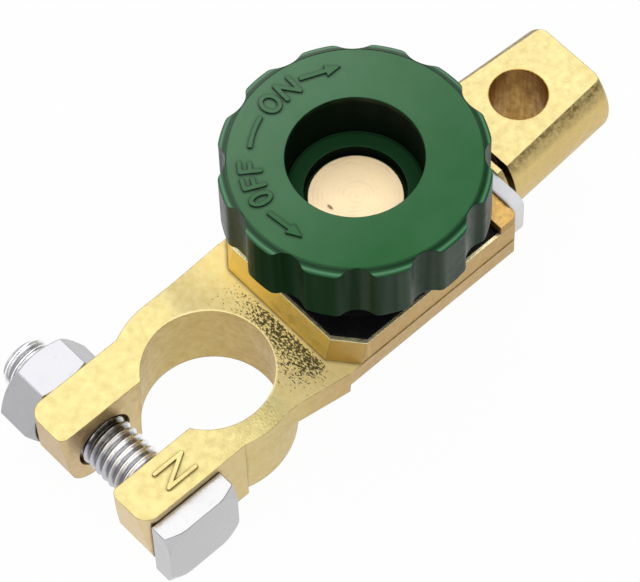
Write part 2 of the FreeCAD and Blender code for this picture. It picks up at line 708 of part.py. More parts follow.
# Contact washer that rises and falls with the stud without turning
washer_disc = joined("washer_disc", [
    rod("washer_round", washer_radius, contact_top, washer_top, x=knob_axis),
    block("washer_lugs", (knob_axis - lug_width / 2, knob_axis + lug_width / 2),
          (-lug_reach, lug_reach), (contact_top, washer_top)),
])
contact_washer = cut("contact_washer", washer_disc, [
    rod("washer_bore", spigot_radius + thread_play, contact_top - beyond, washer_top + beyond,
        x=knob_axis),
    rod("swage_room", swage_radius + loose, contact_top - beyond,
        contact_top + swage_height + play * 2, x=knob_axis),
])

# Disc spring between the washer and the stud's flange
spring_bore = spigot_radius + loose
disc_spring = place(turned("disc_spring", [
    (spring_bore, stud_flange_bottom - spring_thickness), (spring_bore, stud_flange_bottom),
    (spring_radius, washer_top + spring_thickness), (spring_radius, washer_top)]), x=knob_axis)


# Stud: thread, groove for its ring, swaged lip, seat of the washer, flange, hexagon and face
def contact_stud_body():
    groove = thread_radius - ring_groove_depth
    disc_radius = disc_diameter / 2
    swage_bottom = contact_top + play
    swage_top = contact_top + swage_height + play
    body = turned("contact_stud", [
        (0, stud_bottom), (thread_radius - stud_tail, stud_bottom),
        (thread_radius, ring_bottom - play), (groove, ring_bottom - play),
        (groove, ring_top + play), (thread_radius, ring_top + play),
        (thread_radius, swage_bottom), (swage_radius, swage_bottom),
        (swage_radius, swage_top), (spigot_radius, swage_top),
        (spigot_radius, stud_flange_bottom), (flange_radius, stud_flange_bottom),
        (flange_radius, hub_bottom), (0, hub_bottom)])
    hex_sketch = new_sketch(body, "stud_hexagon", height=hub_bottom)
    draw_outline(hex_sketch, hexagon(drive_flats))
    hex_pad = body.newObject("PartDesign::Pad", "stud_hexagon_pad")
    hex_pad.Profile = hex_sketch
    bind(hex_pad, "Length", eye_floor - hub_bottom)
    face_sketch = new_sketch(body, "stud_face", height=eye_floor)
    draw_circle(face_sketch, 0, 0, disc_radius)
    face_pad = body.newObject("PartDesign::Pad", "stud_face_pad")
    face_pad.Profile = face_sketch
    bind(face_pad, "Length", disc_height - eye_floor)
    return place(body, x=knob_axis)


contact_stud = contact_stud_body()

# Retaining ring below the boss, an open ring that snaps into the stud's groove
ring_round = rod("ring_round", ring_reach, ring_bottom, ring_top, x=knob_axis)
retaining_ring = cut("retaining_ring", ring_round, [
    rod("ring_hole", thread_radius - ring_groove_depth + thread_play, ring_bottom - beyond,
        ring_top + beyond, x=knob_axis),
    block("ring_gap", (knob_axis, knob_axis + ring_reach + beyond),
          (-(ring_mouth / 2), ring_mouth / 2), (ring_bottom - beyond, ring_top + beyond)),
])


# Knob: lobed moulding with a deep recess, hollow underside and raised lettering
def knob_body():
    cup_radius = recess_radius + cup_wall
    skirt_inner = knob_flat_radius - skirt_wall
    hollow_top = knob_top - roof_thickness
    body = turned("knob_turned", [
        (0, hub_bottom), (hub_radius, hub_bottom), (hub_radius, knob_bottom),
        (cup_radius, knob_bottom), (cup_radius, hollow_top), (skirt_inner, hollow_top),
        (skirt_inner, knob_bottom), (knob_radius, knob_bottom),
        (knob_radius, knob_top - lobe_slope), (knob_flat_radius, knob_top - play),
        (knob_flat_radius, knob_top - top_groove), (knob_flat_radius - top_groove, knob_top),
        (recess_radius, knob_top), (recess_radius, ledge_height), (eye_radius, ledge_height),
        (eye_radius, eye_floor), (0, eye_floor)])
    socket_sketch = new_sketch(body, "stud_socket", height=hub_bottom - beyond)
    draw_outline(socket_sketch, hexagon(drive_flats + play))
    socket = body.newObject("PartDesign::Pocket", "stud_socket_cut")
    socket.Profile = socket_sketch
    socket.Reversed = True
    bind(socket, "Length", eye_floor - hub_bottom + beyond * 1.5)
    return shared("knob_shape", place(body, x=knob_axis), place(lobed_shape(), x=knob_axis))


def lobed_shape():
    """The knob's outline seen from above: lobes with soft edges between round hollows."""
    body = doc.addObject("PartDesign::Body", "knob_lobes")
    round_sketch = new_sketch(body, "lobes_round", height=hub_bottom - beyond)
    draw_circle(round_sketch, 0, 0, knob_radius)
    pad = body.newObject("PartDesign::Pad", "lobes_pad")
    pad.Profile = round_sketch
    bind(pad, "Length", knob_top - hub_bottom + beyond * 2)
    valley_sketch = new_sketch(body, "valley", height=hub_bottom - beyond)
    turn = math.radians(VALLEY_TURN)
    reach = knob_flat_radius + valley_radius
    draw_circle(valley_sketch, reach * math.cos(turn), reach * math.sin(turn), valley_radius)
    valley = body.newObject("PartDesign::Pocket", "valley_cut")
    valley.Profile = valley_sketch
    valley.Reversed = True
    bind(valley, "Length", knob_top - hub_bottom + beyond * 2)
    pattern = body.newObject("PartDesign::PolarPattern", "valley_ring")
    pattern.Originals = [valley]
    pattern.Axis = (valley_sketch, ["N_Axis"])
    pattern.Angle = 360
    pattern.Occurrences = LOBE_COUNT
    body.Tip = pattern
    return rounded("knob_outline", body, lobe_round,
                   lambda edge: upright(edge) and abs(edge.BoundBox.YMin) > 1)


def letter_f(wide, high):
    """The letter F upright on its ground, as raised strokes."""
    left = -wide / 2
    top = high / 2
    strokes = [stroke_solid((left, -top), (left, top)),
               stroke_solid((left, top), (wide / 2, top)),
               stroke_solid((left, 0), (wide / 3, 0))]
    return strokes[0].multiFuse(strokes[1:])


def letter_o(wide, high):
    """The letter O: an oval band."""
    def oval(grow):
        long_half = high / 2 + grow
        short_half = wide / 2 + grow
        curve = Part.Ellipse(FreeCAD.Vector(0, long_half, 0), FreeCAD.Vector(short_half, 0, 0),
                             FreeCAD.Vector(0, 0, 0))
        face = Part.Face(Part.Wire(curve.toShape()))
        return face.extrude(FreeCAD.Vector(0, 0, 2 * letter_proud.value))
    half = letter_stroke.value / 2
    band = oval(half).cut(oval(-half))
    band.translate(FreeCAD.Vector(0, 0, -letter_proud.value))
    return band


def arrow_solid(length, tip_side):
    """A straight arrow along the ring of letters, pointing to tip_side."""
    head = ARROW_HEAD * length
    half = letter_stroke.value / 2
    back = -length / 2
    neck = length / 2 - head
    points = [(back, -half), (neck, -half), (neck, -3 * half), (length / 2, 0),
              (neck, 3 * half), (neck, half), (back, half), (back, -half)]
    corners = [FreeCAD.Vector(tip_side * x, y, -letter_proud.value) for x, y in points]
    face = Part.Face(Part.makePolygon(corners))
    return face.extrude(FreeCAD.Vector(0, 0, 2 * letter_proud.value))


def lettering():
    """OFF and ON with a dash between them and an arrow at each end, read clockwise."""
    high = letter_height.value - letter_stroke.value
    narrow = NARROW_LETTER * high
    wide = WIDE_LETTER * high
    arrow_length = ARROW_LENGTH * letter_radius.value
    marks = [
        (ARROW_PLACES[0], arrow_solid(arrow_length, -1)),
        (OFF_PLACES[0], letter_o(narrow, high)),
        (OFF_PLACES[1], letter_f(narrow, high)),
        (OFF_PLACES[2], letter_f(narrow, high)),
        (ON_PLACES[0], letter_o(wide, high)),
        (ON_PLACES[1], letter_n(wide, high)),
        (ARROW_PLACES[1], arrow_solid(arrow_length, 1)),
    ]
    solids = [dash_solid(DASH_START, DASH_END)]
    for angle, glyph in marks:
        out = FreeCAD.Placement(FreeCAD.Vector(0, letter_radius.value, 0), NO_TURN)
        turn = FreeCAD.Placement(
            FreeCAD.Vector(0, 0, 0), FreeCAD.Rotation(FreeCAD.Vector(0, 0, 1), angle - 90))
        glyph.Placement = turn.multiply(out).multiply(glyph.Placement)
        solids.append(glyph)
    text = solids[0].multiFuse(solids[1:])
    text.translate(FreeCAD.Vector(knob_axis.value, 0, knob_top.value))
    return text


def dash_solid(start, end):
    """The curved dash between the two words."""
    half = letter_stroke.value / 2
    outer = letter_radius.value + half
    inner = letter_radius.value - half
    up = FreeCAD.Vector(0, 0, 1)
    low = FreeCAD.Vector(0, 0, -letter_proud.value)
    tall = 2 * letter_proud.value
    sector = Part.makeCylinder(outer, tall, low, up, end - start)
    sector = sector.cut(Part.makeCylinder(inner, tall, low, up, 360))
    sector.rotate(FreeCAD.Vector(0, 0, 0), up, start)
    return sector


knob_lettering = doc.addObject("Part::Feature", "knob_lettering")
knob_lettering.Shape = lettering()
knob = joined("knob", [knob_body(), knob_lettering])


# Clamp bolt with a square head and clamp nut, both along Y
def crown(name, length, inner_radius, low, high, both_ends):
    """A turned blank whose sloped ends take the corners off a head or a nut."""
    top = (length, high - (length - inner_radius) * CORNER_SLOPE)
    foot = [(0, low), (length, low)]
    if both_ends:
        foot = [(0, low), (inner_radius, low),
                (length, as_size(low) + (length - inner_radius) * CORNER_SLOPE)]
    return turned(name, foot + [top, (inner_radius, high), (0, high)])


head_start = -(ear_half_width + head_height)
nut_start = ear_half_width
nut_end = ear_half_width + nut_height
bolt_end = nut_end + thread_end
head_half = head_flats / 2
head_corner = head_half * math.sqrt(2)
nut_corner = nut_flats / math.sqrt(3)

head_square = block("head_square", (-bolt_reach - head_half, -bolt_reach + head_half),
                    (head_start, -ear_half_width), (bolt_height - head_half, bolt_height + head_half))
head_crown = crown("head_crown", head_corner + beyond, head_half * HEAD_FACE, 0, head_height, False)
place(head_crown, -bolt_reach, -ear_half_width, bolt_height,
      TURN_UP)
bolt_head = shared("bolt_head", head_square, head_crown)
bolt_shank = turned("bolt_shank", [
    (0, -ear_half_width - beyond), (bolt_radius, -ear_half_width - beyond),
    (bolt_radius, bolt_end - thread_chamfer), (bolt_radius - thread_chamfer, bolt_end),
    (0, bolt_end)])
place(bolt_shank, -bolt_reach, 0, bolt_height, TURN_TO_Y)
clamp_bolt = joined("clamp_bolt", [bolt_head, bolt_shank])

nut_prism = place(prism("nut_prism", hexagon(nut_flats), nut_start, nut_end),
                  -bolt_reach, 0, bolt_height, TURN_TO_Y)
nut_crown = place(
    crown("nut_crown", nut_corner + beyond, nut_flats / 2 * NUT_FACE, nut_start, nut_end, True),
    -bolt_reach, 0, bolt_height, TURN_TO_Y)
clamp_nut = cut("clamp_nut", shared("nut_body", nut_prism, nut_crown), [
    rod("nut_bore", bolt_radius + thread_play, nut_start - beyond, nut_end + beyond,
        x=-bolt_reach, z=bolt_height, axis="y"),
])

NODES = [clamp_casting, insulating_liner, cable_terminal, end_bridge, tray_cover,
         contact_washer, disc_spring, contact_stud, retaining_ring, knob, clamp_bolt, clamp_nut]

doc.recompute()
for thing in doc.Objects:
    if "Invalid" in thing.State or "Error" in thing.State:
        raise RuntimeError(f"{thing.Name} failed: {thing.State}")
for node in NODES:
    if node.Shape.isNull() or not node.Shape.isValid():
        raise RuntimeError(f"{node.Name} has no valid shape")
    if len(node.Shape.Solids) != 1:
        raise RuntimeError(f"{node.Name} has {len(node.Shape.Solids)} solids")

os.makedirs("parts", exist_ok=True)
for node in NODES:
    node.Label = node.Name
    node.Shape.exportStep(f"parts/{node.Label}.step")
    box = node.Shape.BoundBox
    print(node.Label, round(node.Shape.Volume), "mm3",
          [round(v, 2) for v in (box.XMin, box.XMax, box.YMin, box.YMax, box.ZMin, box.ZMax)])
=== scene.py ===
"""Battery terminal disconnect switch: materials, threads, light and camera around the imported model."""
import math
import bpy
import bmesh
from mathutils import Matrix, Vector

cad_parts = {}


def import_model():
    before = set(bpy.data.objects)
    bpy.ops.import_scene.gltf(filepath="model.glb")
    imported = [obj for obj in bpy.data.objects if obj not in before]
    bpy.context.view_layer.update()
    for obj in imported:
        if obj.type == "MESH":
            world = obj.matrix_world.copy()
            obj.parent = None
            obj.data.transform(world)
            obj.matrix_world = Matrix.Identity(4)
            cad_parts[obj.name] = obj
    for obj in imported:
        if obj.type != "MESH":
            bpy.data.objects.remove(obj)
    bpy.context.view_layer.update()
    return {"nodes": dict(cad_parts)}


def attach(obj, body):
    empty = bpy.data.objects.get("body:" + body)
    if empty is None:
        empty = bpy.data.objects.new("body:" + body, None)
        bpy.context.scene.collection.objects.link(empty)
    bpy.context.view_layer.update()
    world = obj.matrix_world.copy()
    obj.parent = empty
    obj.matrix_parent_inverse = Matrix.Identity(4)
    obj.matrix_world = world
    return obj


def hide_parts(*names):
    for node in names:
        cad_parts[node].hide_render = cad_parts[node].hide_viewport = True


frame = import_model()
nodes = frame["nodes"]
MM = 0.001

# Places and sizes of the CAD model that the looks and the pieces made here follow, in millimetres
BOLT_X = -14.65
BOLT_Z = 6.25
BOLT_END = 22.0
EAR_HALF = 11.8
HEAD_HEIGHT = 3.5
HEAD_FLATS = 12.0
NUT_HEIGHT = 6.5
NUT_FLATS = 13.0
KNOB_X = 27.1
KNOB_TOP = 37.2
FLAT_RADIUS = 16.9
RECESS_RADIUS = 9.22
TOP_Z = 13.65
RIM_Z = 17.8
WALL_FRONT = 17.2
HOLE_X = 57.28
HOLE_RADIUS = 4.05
POST_START = 48.1
BRIDGE_END = 44.2
LOWEST_Z = -0.25

# A dark mark on the stud's turned face, and the way from the face's middle to its side farthest from the
# photograph's viewpoint
SPOT = (23.5, 1.1)
SPOT_STRETCH = 0.45
FAR_X, FAR_Y = 0.65, 0.76
FAR_REACH = 6.0

# The way from the left end of the knob's wall to its right end as seen in the photograph
ALONG_X, ALONG_Y = 0.76, -0.65


class Look:
    """A material's node tree, with short calls for the nodes that the materials share."""

    def __init__(self, name):
        self.material = bpy.data.materials.new(name)
        self.material.use_nodes = True
        self.tree = self.material.node_tree
        self.tree.nodes.clear()
        self.out = self.node("ShaderNodeOutputMaterial")
        self.shader = self.node("ShaderNodeBsdfPrincipled")
        self.tree.links.new(self.shader.outputs[0], self.out.inputs["Surface"])
        coords = self.node("ShaderNodeTexCoord")
        scaled = self.node("ShaderNodeVectorMath", operation="SCALE")
        self.tree.links.new(coords.outputs["Object"], scaled.inputs[0])
        scaled.inputs["Scale"].default_value = 1 / MM
        self.mm = scaled.outputs[0]

    def node(self, kind, **settings):
        made = self.tree.nodes.new(kind)
        for name, value in settings.items():
            setattr(made, name, value)
        return made

    def put(self, socket, value):
        if isinstance(value, bpy.types.NodeSocket):
            self.tree.links.new(value, socket)
        elif isinstance(value, (tuple, list)) and len(value) == 3 and socket.type == "RGBA":
            socket.default_value = (*value, 1)
        else:
            socket.default_value = value

    def noise(self, scale, detail=2, rough=0.5, vector=None, warp=0):
        made = self.node("ShaderNodeTexNoise")
        self.put(made.inputs["Vector"], vector or self.mm)
        self.put(made.inputs["Scale"], scale)
        self.put(made.inputs["Detail"], detail)
        self.put(made.inputs["Roughness"], rough)
        self.put(made.inputs["Distortion"], warp)
        return made.outputs["Fac"]

    def vector_math(self, operation, first, second):
        made = self.node("ShaderNodeVectorMath", operation=operation)
        self.put(made.inputs[0], first)
        self.put(made.inputs[1], second)
        return made

    def stretched(self, x, y, z, vector=None):
        return self.vector_math("MULTIPLY", vector or self.mm, (x, y, z)).outputs[0]

    def shifted(self, x, y, z):
        return self.vector_math("SUBTRACT", self.mm, (x, y, z)).outputs[0]

    def parts(self, vector):
        made = self.node("ShaderNodeSeparateXYZ")
        self.put(made.inputs[0], vector)
        return made.outputs

    def math(self, operation, a, b=0.0, clamp=False):
        made = self.node("ShaderNodeMath", operation=operation, use_clamp=clamp)
        self.put(made.inputs[0], a)
        self.put(made.inputs[1], b)
        return made.outputs[0]

    def add(self, a, b):
        return self.math("ADD", a, b)

    def times(self, *factors):
        """The product of several factors."""
        product = factors[0]
        for factor in factors[1:]:
            product = self.math("MULTIPLY", product, factor)
        return product

    def fit(self, value, low, high, to_low=0.0, to_high=1.0):
        made = self.node("ShaderNodeMapRange", clamp=True)
        self.put(made.inputs["Value"], value)
        for name, number in zip(("From Min", "From Max", "To Min", "To Max"), (low, high, to_low, to_high)):
            self.put(made.inputs[name], number)
        return made.outputs["Result"]

    def past(self, value, start, full):
        """0 up to start, 1 from full on."""
        return self.fit(value, start, full)

    def before(self, value, full, end):
        """1 up to full, 0 from end on."""
        return self.fit(value, full, end, 1.0, 0.0)

    def mix(self, factor, first, second, blend="MIX"):
        made = self.node("ShaderNodeMix", data_type="RGBA", blend_type=blend)
        self.put(made.inputs[0], factor)
        self.put(made.inputs[6], first)
        self.put(made.inputs[7], second)
        return made.outputs[2]

    def mix_numbers(self, factor, first, second):
        made = self.node("ShaderNodeMix", data_type="FLOAT")
        self.put(made.inputs[0], factor)
        self.put(made.inputs[2], first)
        self.put(made.inputs[3], second)
        return made.outputs[0]

    def tint(self, factor, color, by):
        """The colour multiplied by another one, where the factor says."""
        return self.mix(factor, color, self.mix(1.0, color, by, "MULTIPLY"))

    def length(self, a, b):
        return self.math("SQRT", self.add(self.times(a, a), self.times(b, b)))

    def rings(self, vector):
        """Distance from the upright axis through the vector's origin."""
        x, y, _ = self.parts(vector)
        return self.length(x, y)

    def crevice(self, distance, low=0.35, high=0.95):
        """1 in corners, where the materials darken their colour as painted shade, 0 on open surfaces."""
        made = self.node("ShaderNodeAmbientOcclusion", samples=12)
        self.put(made.inputs["Distance"], distance * MM)
        return self.before(made.outputs["AO"], low, high)

    def soft_edge(self, radius):
        made = self.node("ShaderNodeBevel", samples=6)
        self.put(made.inputs["Radius"], radius * MM)
        return made.outputs["Normal"]

    def facing(self):
        """The surface normal's x, y and z."""
        return self.parts(self.node("ShaderNodeNewGeometry").outputs["Normal"])

    def upward(self):
        return self.facing()[2]

    def edge_mask(self, normal):
        """1 where the softened normal leaves the flat one, which is along edges."""
        geometry = self.node("ShaderNodeNewGeometry")
        made = self.vector_math("DOT_PRODUCT", normal, geometry.outputs["Normal"])
        return self.before(made.outputs["Value"], 0.8, 0.995)

    def bump(self, height, distance, normal=None):
        made = self.node("ShaderNodeBump")
        self.put(made.inputs["Height"], height)
        self.put(made.inputs["Distance"], distance * MM)
        self.put(made.inputs["Strength"], 1.0)
        if normal:
            self.put(made.inputs["Normal"], normal)
        return made.outputs["Normal"]

    def done(self, color, rough, metallic=0.0, normal=None, **others):
        self.put(self.shader.inputs["Base Color"], color)
        self.put(self.shader.inputs["Roughness"], rough)
        self.put(self.shader.inputs["Metallic"], metallic)
        if normal:
            self.put(self.shader.inputs["Normal"], normal)
        for name, value in others.items():
            self.put(self.shader.inputs[name.replace("_", " ")], value)
        return self.material


FACES_UP = (0.35, 0.9)
CAST_TONE = (0.72, 0.60, 0.40)
PIT_BROWN = (0.26, 0.17, 0.05)
CREVICE_BROWN = (0.06, 0.035, 0.008)
EDGE_BROWN = (0.16, 0.09, 0.02)


def cast_brass(name, top, sides, marks=None, grain=0.035, speck=0.3):
    """Forged brass: a colour for what faces up, and three for the sides, from the ears to the tray, which
    paint the sides' shade.
    """
    look = Look(name)
    x, y, z = look.parts(look.mm)
    patches = look.past(look.noise(0.16, 3, 0.6, warp=0.6), 0.35, 0.7)
    speckle = look.past(look.noise(1.5, 4, 0.65), 0.35, 0.68)
    pits = look.before(look.noise(3.4, 3, 0.6), 0.30, 0.42)
    lean = look.upward()
    up = look.past(lean, *FACES_UP)
    at_ears, at_ring, at_tray = sides
    # The sides' colours differ from the top's only by which way the surface faces: painted shade
    side = look.mix(look.past(x, -20, 2), at_ears, at_ring)
    side = look.mix(look.past(x, 5, 16), side, at_tray)
    shade = look.mix(up, side, top)
    tone = look.mix(1.0, shade, CAST_TONE, "MULTIPLY")
    rough_skin = look.fit(x, -2, 9, 0.22, 1.0)
    shade = look.mix(look.times(patches, rough_skin, 0.25), shade, tone)
    shade = look.mix(look.times(speckle, rough_skin, speck), shade, tone)
    shade = look.mix(look.times(pits, rough_skin, speck), shade, PIT_BROWN)
    dull, rim_glint = 0.0, 0.0
    if marks:
        shade, dull, rim_glint = marks(look, shade, (x, y, z), lean)
    # Painted shade, dark brown, in corners and gaps
    shade = look.mix(look.times(look.crevice(0.7), 0.8), shade, CREVICE_BROWN)
    soft = look.soft_edge(0.2)
    # Thin dark lines along edges, broken by noise: painted shade on the edges, left off where the rims'
    # painted glint lies
    line = look.times(look.edge_mask(soft), look.fit(look.noise(0.8, 3), 0.38, 0.55, 0.25, 0.85))
    line = look.math("SUBTRACT", line, rim_glint, clamp=True)
    shade = look.mix(line, shade, EDGE_BROWN)
    height = look.add(look.times(look.noise(0.7, 4, 0.6), 1.6), look.noise(3.2, 3, 0.6))
    normal = look.bump(height, grain, soft)
    rough = look.fit(look.noise(0.9, 3), 0.3, 0.7, 0.34, 0.52)
    rough = look.add(rough, look.times(dull, 0.4))
    return look.done(shade, rough, 1.0, normal)


ARM_PAINTED_LIGHT = (0.80, 0.70, 0.39)
ARM_PAINTED_LIGHT_BY_WALL = (1.0, 0.88, 0.48)
STROKE_DARK = (0.05, 0.042, 0.010)
WALL_GOLD = (0.86, 0.66, 0.20)
WALL_BROWN = (0.46, 0.31, 0.10)
RIM_PALE = (1.0, 0.90, 0.56)
BORE_TINT = (0.92, 0.88, 0.80)
FAR_EAR_TINT = (0.80, 0.76, 0.72)


def casting_marks(look, shade, place, lean):
    """Strokes on the arm; painted light, shade and rim highlights; returns colour, dullness and the rims'
    glint.
    """
    x, y, z = place
    up = look.past(lean, *FACES_UP)
    facing_side = look.before(up, 0.0, 1.0)
    from_axis = look.rings(look.mm)

    on_top = look.times(up, look.past(z, TOP_Z - 0.3, TOP_Z - 0.1), look.before(z, TOP_Z + 0.1, TOP_Z + 0.3))
    # The arm's top painted lighter, most by the tray's wall: painted light against the knob's shade and dark
    # reflection
    arm = look.times(on_top, look.past(x, 2.0, 5.0))
    by_wall = look.times(look.past(x, 6.0, 11.5), look.past(y, -10.0, -5.0))
    shade = look.mix(look.times(arm, 0.85), shade, look.mix(by_wall, ARM_PAINTED_LIGHT, ARM_PAINTED_LIGHT_BY_WALL))

    dense = look.times(look.past(x, 3.0, 10.4), look.before(y, 0.5, 11.0), look.past(y, -13.2, -9.5),
                       look.before(x, 11.6, 12.2))
    strokes = look.noise(2.7, 3, 0.65, look.stretched(1.5, 0.7, 1.0), 0.2)
    dark = look.before(look.math("SUBTRACT", strokes, look.times(dense, 0.27)), 0.235, 0.30)
    shade = look.mix(look.times(on_top, look.past(dense, 0.02, 0.2), dark, 0.88), shade, STROKE_DARK)

    # The tray's outer wall painted golden, and brown where it turns towards -Y: painted light and painted
    # shade
    wall = look.times(look.past(z, TOP_Z, TOP_Z + 0.4), look.before(x, WALL_FRONT - 0.8, WALL_FRONT),
                      look.before(up, 0.5, 0.9))
    shade = look.mix(look.times(wall, 0.85), shade, WALL_GOLD)
    corner = look.times(wall, look.before(look.facing()[1], -0.6, -0.3))
    shade = look.mix(corner, shade, WALL_BROWN)

    # The bore's wall a little darker and greyer: painted shade in the hole
    in_bore = look.times(look.before(from_axis, 9.75, 9.85), facing_side)
    shade = look.tint(in_bore, shade, BORE_TINT)
    # The far ear's sides darker: painted shade
    far_ear = look.times(look.before(x, -14.0, -10.0), look.past(y, 2.0, 6.0), facing_side)
    shade = look.tint(far_ear, shade, FAR_EAR_TINT)

    # Pale thin lines on the bore's rim and the tray's rim: painted highlights
    bore_rim = look.times(look.before(from_axis, 9.1, 9.45), look.past(x, 1.0, 4.0), up)
    tray_rim = look.times(look.past(z, RIM_Z - 0.25, RIM_Z - 0.1), up)
    glint = look.math("MAXIMUM", bore_rim, tray_rim)
    return look.mix(glint, shade, RIM_PALE), arm, glint


POST_BAND = (0.11, 0.075, 0.022)
HOLE_DARK = (0.30, 0.15, 0.02)
HOLE_PALE = (0.48, 0.29, 0.08)
GROOVE_DARK = (0.005, 0.003, 0.001)


def post_marks(look, shade, place, lean):
    """A dark band below the milled flat, a brown wall of painted shade in the cable hole and painted shade
    in the groove at the post's start.
    """
    x, _, z = place
    band = look.times(look.past(lean, 0.36, 0.60), look.before(lean, 0.88, 0.96))
    patchy = look.fit(look.noise(1.3, 5, 0.75), 0.40, 0.60, 1.0, 0.45)
    shade = look.mix(look.times(band, patchy, 0.9), shade, POST_BAND)

    # The cable hole's wall dark brown with streaks: painted shade inside the hole, streaked in tone
    from_hole = look.rings(look.shifted(HOLE_X, 0, 0))
    in_hole = look.before(from_hole, HOLE_RADIUS + 0.07, HOLE_RADIUS + 0.2)
    streak = look.past(look.noise(0.9, 4, 0.6, look.stretched(1.6, 1.6, 0.25)), 0.35, 0.65)
    shade = look.mix(in_hole, shade, look.mix(streak, HOLE_DARK, HOLE_PALE))

    # The groove painted near black, darkest at the top: painted shade
    groove = look.times(look.past(x, POST_START - 0.9, POST_START - 0.8),
                        look.before(x, POST_START + 0.02, POST_START + 0.1),
                        look.fit(z, 15.0, 18.0, 0.3, 0.95))
    return look.mix(groove, shade, GROOVE_DARK), 0.0, 0.0


KNOB_TOP_DARK = (0.024, 0.132, 0.037)
KNOB_TOP_PALE = (0.035, 0.155, 0.053)
KNOB_WALL_DARK = (0.004, 0.021, 0.005)
KNOB_WALL_PALE = (0.011, 0.036, 0.014)
RECESS_WALL = (0.006, 0.012, 0.006)
RECESS_LEDGE = (0.017, 0.078, 0.026)
RECESS_EDGE = (0.06, 0.15, 0.075)
LETTER_GREEN = (0.014, 0.118, 0.026)
KNOB_CREVICE = (0.002, 0.016, 0.005)
LOBE_LINE = (0.003, 0.034, 0.009)
LOBE_GREEN = (0.014, 0.098, 0.029)
LOBE_LIGHT = (0.13, 0.34, 0.18)


def green_plastic():
    """The knob: satin top, a darker wall with painted reflection streaks, a recess in painted shade, and
    lobes with a painted shade line and a painted highlight.
    """
    look = Look("green_plastic")
    here = look.shifted(KNOB_X, 0, 0)
    x, y, z = look.parts(here)
    lean = look.upward()
    radius = look.rings(here)
    cloud = look.past(look.noise(0.12, 2, 0.5, here), 0.3, 0.7)
    streaks = look.past(look.noise(0.30, 2, 0.5, look.stretched(1.4, 1.4, 0.04)), 0.36, 0.64)
    wall = look.before(look.math("ABSOLUTE", lean), 0.2, 0.6)
    color = look.mix(cloud, KNOB_TOP_DARK, KNOB_TOP_PALE)
    # The wall painted darker than the top as shade, with lighter streaks as painted reflections
    color = look.mix(wall, color, look.mix(streaks, KNOB_WALL_DARK, KNOB_WALL_PALE))

    # Painted shade inside the recess: the wall near black, the ledge dark green
    inside = look.times(look.before(radius, RECESS_RADIUS, RECESS_RADIUS + 0.1),
                        look.before(z, KNOB_TOP - 1.2, KNOB_TOP - 0.3))
    color = look.mix(inside, color, look.mix(look.past(lean, 0.4, 0.8), RECESS_WALL, RECESS_LEDGE))
    raised = look.fit(z, KNOB_TOP + 0.12, KNOB_TOP + 0.2, 0.0, 0.8)
    color = look.mix(raised, color, LETTER_GREEN)
    # Painted shade in corners, which draws the dark outlines round the letters
    color = look.mix(look.times(look.crevice(0.5, 0.6, 0.97), 0.92), color, KNOB_CREVICE)
    soft = look.soft_edge(0.3)
    # A paler line along the recess's edges: painted highlight
    color = look.mix(look.times(inside, look.edge_mask(soft), 0.45), color, RECESS_EDGE)

    # On the lobes' slopes: a dark line of painted shade at the flat's edge, a darker green as painted shade,
    # and a stripe of painted highlight
    lobe = look.times(look.past(lean, 0.6, 0.75), look.past(radius, FLAT_RADIUS, FLAT_RADIUS + 0.1))
    crescent = look.mix(look.past(radius, FLAT_RADIUS + 0.3, FLAT_RADIUS + 0.6), LOBE_LINE, LOBE_GREEN)
    light = look.times(look.past(radius, FLAT_RADIUS + 0.55, FLAT_RADIUS + 0.75),
                       look.before(radius, FLAT_RADIUS + 0.85, FLAT_RADIUS + 1.05))
    crescent = look.mix(look.times(light, 0.7), crescent, LOBE_LIGHT)
    color = look.mix(lobe, color, crescent)

    height = look.add(look.noise(5, 3, 0.6, here), look.times(streaks, wall, 1.5))
    normal = look.bump(height, 0.012, soft)
    rough = look.fit(look.noise(0.6, 3, 0.6, here), 0.3, 0.7, 0.34, 0.46)

    # The specular level follows position: it paints the sheen across the top and the highlights at the
    # wall's ends and streaks
    across = look.math("SUBTRACT", y, look.times(x, 0.08))
    top_shine = look.fit(across, -12, 17, 0.12, 0.62)
    along = look.add(look.times(x, ALONG_X), look.times(y, ALONG_Y))
    ends = look.add(look.before(along, -17.5, -13.5), look.fit(along, -4, 16, 0.01, 0.30))
    wall_shine = look.times(ends, look.fit(streaks, 0.0, 1.0, 0.35, 1.1))
    shine = look.times(look.mix_numbers(wall, top_shine, wall_shine), look.fit(inside, 0.0, 1.0, 1.0, 0.12))
    return look.done(color, rough, 0.0, normal, Specular_IOR_Level=shine)


def black_plastic():
    look = Look("black_plastic")
    color = look.mix(look.noise(0.8, 3), (0.0025, 0.0025, 0.003), (0.006, 0.006, 0.007))
    normal = look.bump(look.noise(4.5, 3, 0.6), 0.02, look.soft_edge(0.2))
    rough = look.fit(look.noise(1.2, 2), 0.3, 0.7, 0.42, 0.6)
    return look.done(color, rough, 0.0, normal, Specular_IOR_Level=0.12)


NYLON_LOW = (0.86, 0.82, 0.74)
NYLON_WHITE = (0.95, 0.97, 1.0)
NYLON_SPECK = (0.70, 0.66, 0.60)
NYLON_BY_BRASS = (0.42, 0.28, 0.14)
NYLON_CREVICE = (0.30, 0.20, 0.11)


